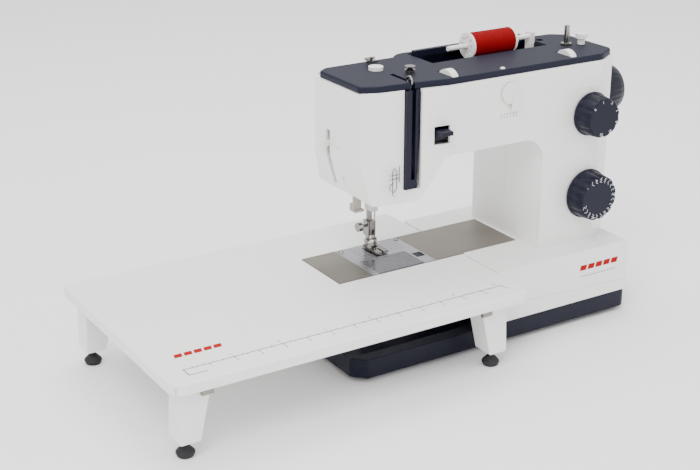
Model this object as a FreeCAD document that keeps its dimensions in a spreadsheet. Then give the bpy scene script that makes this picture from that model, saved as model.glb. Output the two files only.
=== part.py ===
import FreeCAD, Part
import os
import math
import Sketcher

# A free-arm household sewing machine standing in its extension table.
# Frame: origin on the floor below the middle of the whole, +X towards the handwheel,
# -Y towards the person sewing, +Z up, millimetres.

# ---------------------------------------------------------------- driving dimensions
SIZES = {
    # heights above the floor
    "deck_height": 85.0, "tray_top": 26.0, "rubber_height": 5.0, "arm_top": 285.0,
    "arm_depth": 73.0, "head_depth": 117.0, "cover_height": 6.5,
    # white housing, as distances from the origin
    "head_left": 53.6, "housing_right": 263.4, "base_right": 271.4, "housing_back": 72.0,
    "face_front": 48.0, "pillar_left": 161.4, "wall": 3.0, "channel_width": 17.4,
    "seam_offset": 9.0,
    "split_back": 14.0, "seam": 0.3,
    # base and tray
    "base_left": 86.0, "base_front": 78.0, "base_back": 100.0, "tray_left": 88.6,
    "tray_right": 268.0, "tray_inset": 1.0, "tray_chamfer": 13.0, "rubber_radius": 9.0,
    # free arm and its plates
    "arm_width_front": 13.9, "arm_width_back": 62.9, "free_arm_left": 69.7,
    "free_arm_bottom": 42.0, "bed_right": 158.3, "bed_thick": 1.0,
    "plate_left": 29.2, "plate_right": 50.1, "plate_thick": 2.0, "plate_gap": 0.25,
    "release_travel": 2.0,
    # extension table
    "table_left": 311.5, "table_right": 84.4, "table_front": 132.2, "table_back": 132.1,
    "table_thick": 10.5, "table_round": 14.0, "slot_gap": 0.6,
    # table legs
    "leg_x_left": 283.6, "leg_x_right": 47.4, "leg_y_front": 106.9, "leg_y_back": 112.5,
    "leg_top_width": 31.0, "leg_bottom_width": 21.0, "leg_depth": 24.0,
    "leg_bottom": 17.5, "leg_splay": 8.0, "leg_pin_radius": 2.5, "pin_gap": 0.06,
    "leg_foot_radius": 9.5, "leg_foot_height": 11.0, "leg_screw_radius": 2.5,
    # needle and presser bars
    "needle_x": 10.4, "needle_y": 45.1, "needle_bar_radius": 3.0, "bar_gap": 0.05,
    "presser_offset": 11.0, "presser_bar_radius": 3.2, "needle_radius": 0.45,
    "needle_lift": 7.0,
    # needle threader
    "threader_offset": 9.5, "threader_rod_radius": 1.6, "threader_drop": 40.0,
    # controls on the front
    "dial_x": 222.2, "length_dial_drop": 56.3, "length_dial_radius": 24.0,
    "pattern_dial_rise": 54.0, "pattern_dial_radius": 27.5, "dial_depth": 22.0,
    "dial_gap": 0.6, "stitch_lever_x": 113.5, "stitch_lever_drop": 18.0,
    "stitch_lever_radius": 11.0, "reverse_x": 28.9, "reverse_drop": 50.0, "lever_travel": 4.0,
    # controls on the top
    "thumb_radius": 16.0, "thumb_width": 4.5, "tension_x": 49.4, "balance_x": 202.4,
    "thumb_y": 29.0, "button_x": 3.6, "button_y": 23.1, "button_radius": 7.5, "guide_y": 4.3,
    "spool_back_gap": 20.0, "spool_rise": 12.0, "spool_left": 121.0, "spool_right": 181.0,
    "spool_radius": 14.0, "spool_pin_radius": 2.6, "spool_bore_gap": 0.08,
    "winder_x": 229.4, "winder_y": 4.1, "winder_radius": 2.9,
    # drive
    "shaft_y": 18.0, "shaft_drop": 55.0, "shaft_radius": 5.0, "wheel_radius": 32.0,
    "wheel_outer": 311.5, "wheel_inner": 269.0, "motor_radius": 24.0,
    "lower_shaft_z": 62.0, "hook_radius": 15.0,
}

# places that follow from the sizes above
LINKED = {
    "arm_bottom": "=arm_top - arm_depth", "head_bottom": "=arm_top - head_depth",
    "cover_top": "=arm_top + cover_height", "length_dial_z": "=arm_top - length_dial_drop",
    "pattern_dial_z": "=deck_height + pattern_dial_rise",
    "stitch_lever_z": "=arm_top - stitch_lever_drop", "reverse_z": "=arm_top - reverse_drop",
    "spool_z": "=arm_top + spool_rise",
    "spool_y": "=housing_back - spool_back_gap - spool_radius", "shaft_z": "=arm_top - shaft_drop",
}
CELLS = {**SIZES, **LINKED}

doc = FreeCAD.newDocument("SewingMachine")
sheet = doc.addObject("Spreadsheet::Sheet", "Dims")
for row, (alias, value) in enumerate(CELLS.items(), start=1):
    sheet.set("A%d" % row, alias)
    sheet.set("B%d" % row, str(value))
    sheet.setAlias("B%d" % row, alias)
doc.recompute()


# ---------------------------------------------------------------- sizes with expressions
class Size:
    """A length that knows its value and the spreadsheet expression it came from."""

    def __init__(self, text, value):
        self.text = text
        self.value = value

    def join(self, sign, other, value):
        return Size("(%s%s%s)" % (self.text, sign, other.text), value)

    def __add__(self, other):
        other = size(other)
        return self.join("+", other, self.value + other.value)

    def __sub__(self, other):
        other = size(other)
        return self.join("-", other, self.value - other.value)

    def __mul__(self, other):
        other = size(other)
        return self.join("*", other, self.value * other.value)

    def __truediv__(self, other):
        other = size(other)
        return self.join("/", other, self.value / other.value)

    def __neg__(self):
        return size(0) - self

    def __radd__(self, other):
        return size(other) + self

    def __rsub__(self, other):
        return size(other) - self

    def __rmul__(self, other):
        return size(other) * self


def size(number):
    """A plain number as a Size; a Size stays as it is."""
    if isinstance(number, Size):
        return number
    text = "%.6f" % number
    return Size("(%s)" % text if number < 0 else text, float(number))


class Dims:
    """The sheet's cells as attributes: dims.wall is the wall's Size."""

    def __getattr__(self, alias):
        if alias not in CELLS:
            raise AttributeError(alias)
        return Size("Dims.%s" % alias, float(sheet.get(alias)))


dims = Dims()


def bind(thing, field, value):
    """Ties one property to the sheet."""
    thing.setExpression(field, size(value).text)


# ---------------------------------------------------------------- building blocks
TURNS = {
    "Z": FreeCAD.Rotation(),
    "X": FreeCAD.Rotation(FreeCAD.Vector(0, 1, 0), 90),
    "Y": FreeCAD.Rotation(FreeCAD.Vector(1, 0, 0), -90),
}
counter = {}


def spare(stem):
    """A new internal name for a helper object."""
    counter[stem] = counter.get(stem, 0) + 1
    return "%s_%d" % (stem, counter[stem])


def place(thing, at, turn=None):
    """Puts an object at a bound position, with a fixed turn."""
    thing.Placement = FreeCAD.Placement(FreeCAD.Vector(), turn or FreeCAD.Rotation())
    for axis, value in zip("xyz", at):
        bind(thing, "Placement.Base.%s" % axis, value)
    return thing


def block(low, high):
    """A box between two corners."""
    thing = doc.addObject("Part::Box", spare("block"))
    for field, start, end in zip(("Length", "Width", "Height"), low, high):
        bind(thing, field, size(end) - start)
    return place(thing, low)


def rod(base, radius, length, axis="Z"):
    """A round rod that starts at base and runs along +axis."""
    thing = doc.addObject("Part::Cylinder", spare("rod"))
    bind(thing, "Radius", radius)
    bind(thing, "Height", length)
    return place(thing, base, TURNS[axis])


def cone(base, radius_start, radius_end, length, axis="Z"):
    """A tapered rod along +axis."""
    thing = doc.addObject("Part::Cone", spare("cone"))
    bind(thing, "Radius1", radius_start)
    bind(thing, "Radius2", radius_end)
    bind(thing, "Height", length)
    return place(thing, base, TURNS[axis])


def ring(centre, radius, thickness, axis="Z"):
    """A round ring of round section about an axis."""
    thing = doc.addObject("Part::Torus", spare("ring"))
    bind(thing, "Radius1", radius)
    bind(thing, "Radius2", thickness)
    return place(thing, centre, TURNS[axis])


def fuse(*things):
    """One solid out of several that touch or overlap."""
    joined = doc.addObject("Part::MultiFuse", spare("fuse"))
    joined.Shapes = list(things)
    joined.Refine = True
    return joined


def cut(base, *tools):
    """The base less each tool."""
    tool = tools[0] if len(tools) == 1 else fuse(*tools)
    less = doc.addObject("Part::Cut", spare("cut"))
    less.Base = base
    less.Tool = tool
    less.Refine = True
    return less


def common(first, second):
    """What two solids share."""
    shared = doc.addObject("Part::MultiCommon", spare("common"))
    shared.Shapes = [first, second]
    shared.Refine = True
    return shared


def group(*things):
    """Separate solids kept together in one node."""
    together = doc.addObject("Part::Compound", spare("group"))
    together.Links = list(things)
    return together


PLANES = {"XY": "XY_Plane", "XZ": "XZ_Plane", "YZ": "YZ_Plane"}


def draw(sketch, corners):
    """Draws a closed outline: each corner is (x, y) or (x, y, radius), bound to the sheet."""
    points = [(size(c[0]), size(c[1]), size(c[2]) if len(c) > 2 else None) for c in corners]
    total = len(points)
    ends = []
    for index, (x, y, radius) in enumerate(points):
        before = points[index - 1]
        after = points[(index + 1) % total]
        back = FreeCAD.Vector(before[0].value - x.value, before[1].value - y.value, 0)
        ahead = FreeCAD.Vector(after[0].value - x.value, after[1].value - y.value, 0)
        back.normalize()
        ahead.normalize()
        if radius is None:
            ends.append(((x, y), (x, y), None, None))
            continue
        half = back.getAngle(ahead) / 2
        reach = 1 / math.tan(half)
        middle = (back + ahead).normalize() * (1 / math.sin(half))
        first = (x + radius * (back.x * reach), y + radius * (back.y * reach))
        last = (x + radius * (ahead.x * reach), y + radius * (ahead.y * reach))
        centre = (x + radius * middle.x, y + radius * middle.y)
        ends.append((first, last, centre, radius))

    def pin(geometry, end, spot):
        for kind, value in (("DistanceX", spot[0]), ("DistanceY", spot[1])):
            number = sketch.addConstraint(
                Sketcher.Constraint(kind, -1, 1, geometry, end, value.value))
            sketch.setExpression("Constraints[%d]" % number, value.text)

    flat = [FreeCAD.Vector(*[v.value for v in spot], 0) for e in ends for spot in e[:2]]
    for index, (first, last, centre, radius) in enumerate(ends):
        start = flat[2 * index + 1]
        finish = flat[(2 * index + 2) % len(flat)]
        line = sketch.addGeometry(Part.LineSegment(start, finish), False)
        pin(line, 1, last)
        pin(line, 2, ends[(index + 1) % total][0])
    for index, (first, last, centre, radius) in enumerate(ends):
        if radius is None:
            continue
        middle = FreeCAD.Vector(centre[0].value, centre[1].value, 0)
        a, b = flat[2 * index], flat[2 * index + 1]
        side = (a - middle).cross(b - middle).z
        if side < 0:
            a, b = b, a
        angles = [math.atan2(p.y - middle.y, p.x - middle.x) for p in (a, b)]
        if angles[1] < angles[0]:
            angles[1] += 2 * math.pi
        circle = Part.Circle(middle, FreeCAD.Vector(0, 0, 1), radius.value)
        arc = sketch.addGeometry(Part.ArcOfCircle(circle, *angles), False)
        start_line, end_line = index, (index - 1) % total
        joins = ((1, end_line, 2), (2, start_line, 1))
        if side < 0:
            joins = ((2, end_line, 2), (1, start_line, 1))
        for own, other, end in joins:
            sketch.addConstraint(Sketcher.Constraint("Coincident", arc, own, other, end))
        number = sketch.addConstraint(Sketcher.Constraint("Radius", arc, radius.value))
        sketch.setExpression("Constraints[%d]" % number, radius.text)


def new_body(plane, corners, offset=0):
    """A PartDesign body with one closed outline drawn on (or off) an origin plane."""
    body = doc.addObject("PartDesign::Body", spare("body"))
    role = PLANES[plane]
    support = [item for item in body.Origin.OriginFeatures if item.Role == role][0]
    sketch = body.newObject("Sketcher::SketchObject", spare("outline"))
    sketch.AttachmentSupport = [(support, "")]
    sketch.MapMode = "FlatFace"
    bind(sketch, "AttachmentOffset.Base.z", offset)
    draw(sketch, corners)
    return body, sketch


def pad(plane, corners, start, end):
    """An outline pulled from start to end along the plane's own axis (+Z, +Y or +X)."""
    offset = -size(end) if plane == "XZ" else size(start)
    body, sketch = new_body(plane, corners, offset)
    feature = body.newObject("PartDesign::Pad", spare("pad"))
    feature.Profile = sketch
    bind(feature, "Length", size(end) - start)
    return body


def lathe(axis, corners, base):
    """A half outline of (radius, distance along the axis) turned about a line through base."""
    if axis == "X":
        body, sketch = new_body("XY", [(c[1], c[0]) + tuple(c[2:]) for c in corners])
    else:
        body, sketch = new_body("XY" if axis == "Y" else "XZ", corners)
    feature = body.newObject("PartDesign::Revolution", spare("turn"))
    feature.Profile = sketch
    feature.ReferenceAxis = (sketch, ["H_Axis" if axis == "X" else "V_Axis"])
    feature.Angle = 360
    return place(body, base)


def soften(body, radius, test):
    """Rounds the edges of a body whose middle point passes the test."""
    doc.recompute()
    names = []
    for number, edge in enumerate(body.Shape.Edges, start=1):
        middle = edge.valueAt((edge.FirstParameter + edge.LastParameter) / 2)
        if test(middle, edge):
            names.append("Edge%d" % number)
    feature = body.newObject("PartDesign::Fillet", spare("round"))
    feature.Base = (body.Tip if body.Tip != feature else feature.BaseFeature, names)
    bind(feature, "Radius", radius)
    body.Tip = feature
    return body


nodes = {}


def node(label, thing):
    """Names a finished sub-part."""
    thing.Label = label
    nodes[label] = thing
    return thing


# ---------------------------------------------------------------- white housing
split = dims.split_back
seam_x = -dims.seam_offset
channel_right = seam_x + dims.channel_width
take_x = seam_x + dims.channel_width / 2


def upper_outline(inset):
    """Front view of arm, head and pillar, moved inwards by the wall."""
    right = dims.housing_right - inset
    left = dims.head_left - inset
    top = dims.arm_top - inset
    return [
        (right, dims.deck_height - 1 + inset), (right, top, 3), (-left, top, 3),
        (-left, dims.arm_bottom - 4, 6), (-left + 11, dims.head_bottom + inset, 3),
        (5.4 - inset, dims.head_bottom + inset, 4),
        (36.4 - inset, dims.arm_bottom + inset, 12),
        (dims.pillar_left + inset, dims.arm_bottom + inset, 26),
        (dims.pillar_left + inset, dims.deck_height - 1 + inset),
    ]


def upper_plan(inset):
    """Plan view of arm, head and pillar: a faceted nose at the needle end."""
    front = dims.face_front - inset
    back = dims.housing_back - inset
    return [
        (inset - dims.head_left, 20 - front, 4), (inset - 45, 18 - front, 5),
        (inset - 33, 14 - front, 6), (-3, 9.5 - front, 6), (13, 3.5 - front, 5), (40, 1 - front, 8),
        (164, -front, 60), (236, -front - 1.5, 12), (dims.housing_right - inset, 13 - front, 9),
        (dims.housing_right - inset, back - 16, 9), (dims.housing_right - 14, back, 12),
        (14 - dims.head_left, back, 10), (inset - dims.head_left, back - 10, 8),
    ]


def upper(inset):
    """The solid of the upper housing, inset by a wall."""
    low = dims.head_bottom - 100
    front_view = pad("XZ", upper_outline(inset), -dims.base_front, dims.base_back)
    return common(front_view, pad("XY", upper_plan(inset), low, dims.arm_top + 1))


def lower(inset):
    """The solid of the white base, inset by a wall."""
    right_top = dims.housing_right - inset
    front_view = pad("XZ", [
        (dims.base_left + inset, dims.tray_top + 0.3), (dims.base_right - inset, dims.tray_top + 0.3),
        (dims.base_right - inset, dims.tray_top + 6), (right_top, dims.deck_height - inset, 3),
        (dims.base_left + inset, dims.deck_height - inset, 1.5),
    ], -dims.base_front, dims.base_back)
    plan = pad("XY", [
        (dims.base_left + inset, inset - dims.base_front, 2),
        (dims.base_right - inset, inset - dims.base_front, 10),
        (dims.base_right - inset, dims.base_back - inset, 10),
        (dims.base_left + inset, dims.base_back - inset, 2),
    ], dims.tray_top, dims.deck_height + 1)
    return common(front_view, plan)


wall = dims.wall
head_floor = dims.head_bottom + 16
hollow = common(upper(wall), block((-dims.head_left, -dims.face_front, head_floor),
                                   (dims.housing_right, dims.housing_back, dims.arm_top - 0.1)))
top_mouth = block((-dims.head_left + 8, -dims.face_front + 22, dims.arm_top - 8),
                  (dims.housing_right - 10, dims.housing_back - 8, dims.arm_top + 1))
wheel_slots = [block((x - dims.thumb_width, -dims.thumb_y - dims.thumb_radius + 1, dims.arm_top - 30),
                     (x + dims.thumb_width, -dims.thumb_y + dims.thumb_radius - 1, dims.arm_top + 1))
               for x in (dims.tension_x, dims.balance_x)]
pillar_hollow = common(upper(wall), block((dims.pillar_left, -dims.face_front, dims.deck_height),
                                          (dims.housing_right, dims.housing_back, head_floor + 1)))
pillar_foot = block((dims.pillar_left + 10, wall - 36, dims.tray_top),
                    (dims.housing_right - 14, dims.housing_back - 16, dims.deck_height + 8))
base_hollow = block((dims.base_left - 1, wall - dims.base_front, dims.tray_top),
                    (dims.housing_right - wall, dims.base_back - wall, dims.deck_height - wall))
arm_mouth = block((dims.base_left - 1, -dims.arm_width_front - 0.1, dims.free_arm_bottom - 0.1),
                  (dims.base_left + wall + 1, dims.arm_width_back + 0.1, dims.deck_height - 1))
bed_recess = block((dims.base_left - 1, -dims.arm_width_front - 0.1, dims.deck_height - 1.02),
                   (dims.bed_right + 0.1, dims.arm_width_back + 0.1, dims.deck_height + 1))
channel_cut = block((seam_x - 0.2, -dims.face_front - 1, dims.head_bottom + 14),
                    (channel_right + 0.2, wall - 30, dims.arm_top + 1))
head_opening = block((seam_x - 22, 8, dims.head_bottom - 1),
                     (26, 66, dims.head_bottom + 32))
top_rebate = block((-dims.head_left + 5, -dims.face_front + 19, dims.arm_top - 4),
                   (dims.housing_right - 6, dims.housing_back - 8, dims.arm_top + 1))


def dial_hole(z):
    """The hole in the front wall for a dial's shaft."""
    return rod((dims.dial_x, -dims.base_front, z), 4.3, 60, "Y")


dial_holes = [dial_hole(dims.length_dial_z), dial_hole(dims.pattern_dial_z)]
reverse_window = block((dims.reverse_x - 7, -dims.base_front, dims.reverse_z - 9.5),
                       (dims.reverse_x + 11, -30, dims.reverse_z + 9.5))
lever_pin = 2.2
lever_reach = lever_pin + dims.lever_travel + 0.5
lever_window = block((dims.stitch_lever_x - lever_reach, -dims.base_front, dims.stitch_lever_z - 3),
                     (dims.stitch_lever_x + lever_reach, -30, dims.stitch_lever_z + 3))
shaft_hole = rod((dims.housing_right - 12, dims.shaft_y, dims.shaft_z), dims.shaft_radius + 2, 30, "X")
lifter_x, lifter_z = dims.needle_x + 6.5, dims.head_bottom + 24
lifter_hole = rod((lifter_x, dims.housing_back - 24, lifter_z), 5, 26, "Y")
threader_slot = block((-dims.head_left - 1, dims.needle_y - 14, dims.head_bottom + 7),
                      (seam_x - 21, dims.needle_y - 7, dims.head_bottom + 66))
inlet_hole = block((dims.housing_right - 12, 34, 36), (dims.base_right + 1, 66, 62))
vent_slots = [block((dims.pillar_left + 24 + 9 * n, dims.housing_back - 12, 120),
                    (dims.pillar_left + 28 + 9 * n, dims.housing_back + 1, 180)) for n in range(7)]

shell = cut(fuse(upper(0), lower(0)),
            hollow, top_mouth, pillar_hollow, pillar_foot, base_hollow,
            arm_mouth, bed_recess, channel_cut, head_opening, top_rebate, reverse_window,
            lever_window, shaft_hole, lifter_hole, threader_slot, inlet_hole,
            *dial_holes, *vent_slots, *wheel_slots)
far = 400
front_zone = block((seam_x, -far, 0), (far, split - dims.seam / 2, far))
rear_zone = block((seam_x, split + dims.seam / 2, 0), (far, far, far))
face_zone = block((-far, -far, 0), (seam_x - dims.seam, far, far))
node("front_cover", common(shell, front_zone))
node("rear_cover", common(shell, rear_zone))
screw_y = 14.0
face_screw_z = dims.head_bottom + 50
slot_z = dims.head_bottom + 15.5
face_screw_hole = rod((-dims.head_left - 1, screw_y, face_screw_z), 3.6, 4, "X")
snip_slot = block((-dims.head_left - 1, screw_y - 1.6, slot_z - 5),
                  (-dims.head_left + 9, screw_y + 2.2, slot_z + 5))
face_screw = cut(rod((-dims.head_left + 1, screw_y, face_screw_z), 3.6, 8, "X"),
                 block((-dims.head_left, screw_y - 3, face_screw_z - 0.5),
                       (-dims.head_left + 1.8, screw_y + 3, face_screw_z + 0.5)))
node("face_cover", fuse(cut(common(shell, face_zone), face_screw_hole, snip_slot), face_screw))

# dark channel down the front of the head, where the thread runs to the take-up lever
channel_front = 7 - dims.face_front
node("thread_channel", cut(pad("XZ", [
    (seam_x + 0.1, dims.arm_top - 0.5), (channel_right - 0.1, dims.arm_top - 0.5),
    (channel_right - 0.1, dims.arm_bottom + 20), (channel_right - 3.5, dims.head_bottom + 14.5),
    (seam_x + 0.1, dims.head_bottom + 14.5),
], channel_front, wall - 30.3),
    block((take_x - 2, channel_front - 1, dims.head_bottom + 24),
          (take_x + 2.4, 0, dims.arm_top + 1)),
    block((channel_right - 4.5, channel_front - 1, dims.head_bottom + 20),
          (channel_right + 1, channel_front + 1.6, dims.arm_top + 1))))

# ---------------------------------------------------------------- top cover
cover_low = dims.arm_top + 0.3
tray_front, tray_back = size(14), dims.housing_back - 11
tray_floor = dims.arm_top - 17
node("top_cover", cut(
    soften(pad("XY", [
        (-dims.head_left - 0.5, 23 - dims.face_front, 5), (-36, 14 - dims.face_front, 10),
        (-3, 10 - dims.face_front, 8), (40, 2.5 - dims.face_front, 12), (236, -dims.face_front, 14),
        (dims.housing_right - 1.5, 16 - dims.face_front, 9),
        (dims.housing_right - 1.5, dims.housing_back - 30, 10),
        (dims.housing_right - 16, dims.housing_back - 18, 12), (50, dims.housing_back - 2, 20),
        (40, dims.housing_back - 14, 8), (10 - dims.head_left, dims.housing_back - 14, 8),
        (-dims.head_left - 0.5, dims.housing_back - 22, 6),
    ], cover_low, dims.cover_top), 2.2, lambda p, e: p.z > dims.cover_top.value - 0.1),
    block((60, tray_front, cover_low - 1), (211, tray_back, dims.cover_top + 1)),
    block((take_x - 2.4, 9 - dims.face_front, cover_low - 1), (take_x + 2.4, 0, dims.cover_top + 1)),
    *[block((x - dims.thumb_width, -dims.thumb_y - dims.thumb_radius + 2, cover_low - 1),
            (x + dims.thumb_width, -dims.thumb_y + dims.thumb_radius - 2, dims.cover_top + 1))
      for x in (dims.tension_x, dims.balance_x)],
    rod((-dims.button_x, dims.button_y, cover_low - 1), dims.button_radius + 0.3, 20),
    rod((dims.winder_x, dims.winder_y, cover_low - 1), dims.winder_radius + 0.4, 20),
    rod((dims.winder_x - 11, dims.winder_y + 32, cover_low - 1), 4.2, 20),
    rod((dims.needle_x + 9, -dims.guide_y, cover_low - 1), 2.0, 20),
    rod((dims.needle_x - 2, dims.needle_y + 5.5, cover_low - 1), 2.0, 20)))
spool_tray = cut(
    block((60.3, tray_front + 0.3, tray_floor), (210.7, tray_back - 0.3, dims.cover_top - 1)),
    block((62.3, tray_front + 2.3, tray_floor + 2), (208.7, tray_back - 2.3, dims.cover_top)))
node("spool_tray", spool_tray)
node("carry_handle", cut(
    block((64, tray_back - 8, dims.cover_top - 9), (207, tray_back - 2.8, dims.cover_top + 4)),
    block((76, tray_back - 20, dims.cover_top - 20), (195, tray_back, dims.cover_top - 3))))

# ---------------------------------------------------------------- base tray and rubber feet
tray_outline = [
    (-dims.tray_left, dims.tray_chamfer + dims.tray_inset - dims.base_front, 3),
    (dims.tray_chamfer - dims.tray_left, dims.tray_inset - dims.base_front, 3),
    (dims.tray_right, dims.tray_inset - dims.base_front, 9),
    (dims.tray_right, dims.base_back - dims.tray_inset, 9),
    (dims.tray_chamfer - dims.tray_left, dims.base_back - dims.tray_inset, 3),
    (-dims.tray_left, dims.base_back - dims.tray_inset - dims.tray_chamfer, 3),
]
node("base_tray", cut(
    pad("XY", tray_outline, dims.rubber_height, dims.tray_top),
    block((-dims.tray_left + 16, -dims.base_front + 16, dims.rubber_height + 4),
          (dims.base_right - 20, dims.base_back - 16, dims.tray_top + 1))))
rubber_spots = [(x, y) for x in (-dims.tray_left + 24, dims.tray_right - 20)
                for y in (-dims.base_front + 20, dims.base_back - 20)]
node("rubber_feet", group(*[cone((x, y, 0), dims.rubber_radius - 1, dims.rubber_radius,
                                 dims.rubber_height) for x, y in rubber_spots]))

# ---------------------------------------------------------------- free arm, bed and plates
arm_low, arm_high = dims.free_arm_bottom, dims.deck_height - dims.bed_thick
arm_end = dims.base_left + wall + 0.8
free_arm = pad("XY", [
    (-dims.free_arm_left, -dims.arm_width_front), (arm_end, -dims.arm_width_front),
    (arm_end, dims.arm_width_back), (-dims.free_arm_left, dims.arm_width_back),
], arm_low, arm_high)
plate_pocket = block((-dims.plate_left, -dims.arm_width_front, arm_high - dims.plate_thick),
                     (dims.plate_right, dims.arm_width_back, arm_high + 1))
arm_room = block((-dims.free_arm_left + wall, wall - dims.arm_width_front, arm_low + wall),
                 (dims.base_left + 13, dims.arm_width_back - wall, arm_high - dims.plate_thick))
hook_well = block((-dims.plate_left + 4, wall - dims.arm_width_front, arm_low + wall),
                  (dims.plate_right - 4, dims.arm_width_back - wall, arm_high + 1))
node("free_arm_cover", cut(free_arm, plate_pocket, arm_room, hook_well))
gap = dims.plate_gap
bed = block((-dims.free_arm_left, -dims.arm_width_front, arm_high),
            (dims.bed_right, dims.arm_width_back, dims.deck_height))
node("bed_plate", cut(bed, block(
    (-dims.plate_left - gap, -dims.arm_width_front - 1, arm_high - 1),
    (dims.plate_right + gap, dims.arm_width_back + 1, dims.deck_height + 1))))
window = [(-dims.plate_left + 8, -dims.arm_width_front + 1.2), (dims.plate_right - 15, 24.5)]
plate_low = arm_high - dims.plate_thick
plate = block((-dims.plate_left, -dims.arm_width_front, plate_low),
              (dims.plate_right, dims.arm_width_back, dims.deck_height))
feed_rows = [(dims.needle_x + dx, dims.needle_y - 9 + dy, ly)
             for dx, dy, ly in ((-9, 0, 20), (-4.8, -4, 7), (-4.8, 10, 12), (4.8, -4, 7),
                                (4.8, 10, 12), (9, 0, 20))]
feed_slots = [block((x - 1.5, y, plate_low - 1), (x + 1.5, y + ly, dims.deck_height + 1))
              for x, y, ly in feed_rows]
needle_slot = block((dims.needle_x - 3.8, dims.needle_y - 0.9, plate_low - 1),
                    (dims.needle_x + 3.8, dims.needle_y + 0.9, dims.deck_height + 1))
button_low, button_high = (dims.plate_right - 12, 3.0), (dims.plate_right - 4, 14.5)
node("needle_plate", cut(
    plate,
    block((window[0][0] - gap, window[0][1] - 2, plate_low - 1),
          (window[1][0] + gap, window[1][1] + gap, dims.deck_height + 1)),
    block((button_low[0] - gap, button_low[1] - gap, plate_low - 1),
          (button_high[0] + gap + dims.release_travel, button_high[1] + gap, dims.deck_height + 1)),
    needle_slot, *feed_slots))
node("bobbin_cover", block((window[0][0], window[0][1], dims.deck_height - 1.6),
                           (window[1][0], window[1][1], dims.deck_height)))
node("cover_release", block((button_low[0], button_low[1], plate_low + 0.4),
                            (button_high[0], button_high[1], dims.deck_height)))

# ---------------------------------------------------------------- needle bar, presser bar, foot
nx, ny = dims.needle_x, dims.needle_y
bar_r = dims.needle_bar_radius
head_low = dims.head_bottom
clamp_z = head_low - 25
needle_tip_z = dims.deck_height + dims.needle_lift
point_length = 6
bar_top = dims.arm_top - 34
node("needle_bar", cut(rod((nx, ny, clamp_z + 2), bar_r, bar_top - clamp_z - 2),
                       rod((nx, ny, bar_top - 6), 1.2, 7)))
node("needle_clamp", cut(fuse(rod((nx, ny, clamp_z - 7), bar_r + 1.3, 8.9),
                              block((nx, ny - 3, clamp_z - 6), (nx + 6, ny + 3, clamp_z + 1)),
                              rod((nx + 3, ny, clamp_z - 2.5), 1.3, 6, "X"),
                              rod((nx + 7.5, ny, clamp_z - 2.5), 4.2, 6, "X")),
                         rod((nx, ny, clamp_z - 8), 0.8, 6)))
node("needle", fuse(rod((nx, ny, clamp_z - 20), 0.8, 17.9),
                    rod((nx, ny, needle_tip_z + point_length), dims.needle_radius,
                        clamp_z - 20 - needle_tip_z - point_length),
                    cone((nx, ny, needle_tip_z), 0.05, dims.needle_radius, point_length)))
py = ny + dims.presser_offset
presser_r = dims.presser_bar_radius
holder_z = dims.deck_height + 17
node("presser_bar", fuse(rod((nx, py, holder_z), presser_r, dims.arm_top - 40 - holder_z),
                         rod((nx, py, head_low + 18), presser_r + 3, 7),
                         block((nx, py, head_low + 18), (nx + 5, py + 8, head_low + 24))))
node("foot_holder", fuse(
    cut(block((nx - 4.6, ny + 5, holder_z - 3), (nx + 4.6, py + 4.6, holder_z + 14)),
        rod((nx, py, holder_z), presser_r, 40),
        block((nx - 2.6, ny, holder_z - 4), (nx + 2.6, ny + 7, holder_z + 4))),
    block((nx - 4.2, ny + 5, holder_z - 9), (nx - 2.8, ny + 11, holder_z - 2)),
    block((nx + 2.8, ny + 5, holder_z - 9), (nx + 4.2, ny + 11, holder_z - 2)),
    rod((nx - 15, py, holder_z + 8), 5, 5, "X"), rod((nx - 11, py, holder_z + 8), 1.6, 6.6, "X")))
foot_low = dims.deck_height + 1.3
foot_base = pad("XY", [(nx - 7.5, ny - 17, 1), (nx + 7.5, ny - 17, 1), (nx + 7.5, ny + 12, 1),
                       (nx - 7.5, ny + 12, 1)], foot_low, foot_low + 2.2)
node("presser_foot", fuse(
    cut(foot_base, block((nx - 3.6, ny - 2.2, foot_low - 1), (nx + 3.6, ny + 2.2, foot_low + 9)),
        block((nx - 1.1, ny - 18, foot_low - 1), (nx + 1.1, ny - 6, foot_low + 9))),
    block((nx - 6.4, ny + 5, foot_low + 2), (nx - 5.2, ny + 10, foot_low + 9.6)),
    block((nx + 5.2, ny + 5, foot_low + 2), (nx + 6.4, ny + 10, foot_low + 9.6)),
    rod((nx - 6.3, ny + 7.6, foot_low + 8), 1.0, 12.6, "X")))
node("presser_lifter", fuse(
    rod((lifter_x, dims.housing_back - 7, lifter_z), 4.5, 13, "Y"),
    block((lifter_x - 4.5, dims.housing_back + 1, lifter_z - 30),
          (lifter_x + 4.5, dims.housing_back + 5, lifter_z)),
    block((lifter_x - 7, dims.housing_back + 1, lifter_z - 36),
          (lifter_x + 7, dims.housing_back + 11, lifter_z - 29))))

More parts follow.
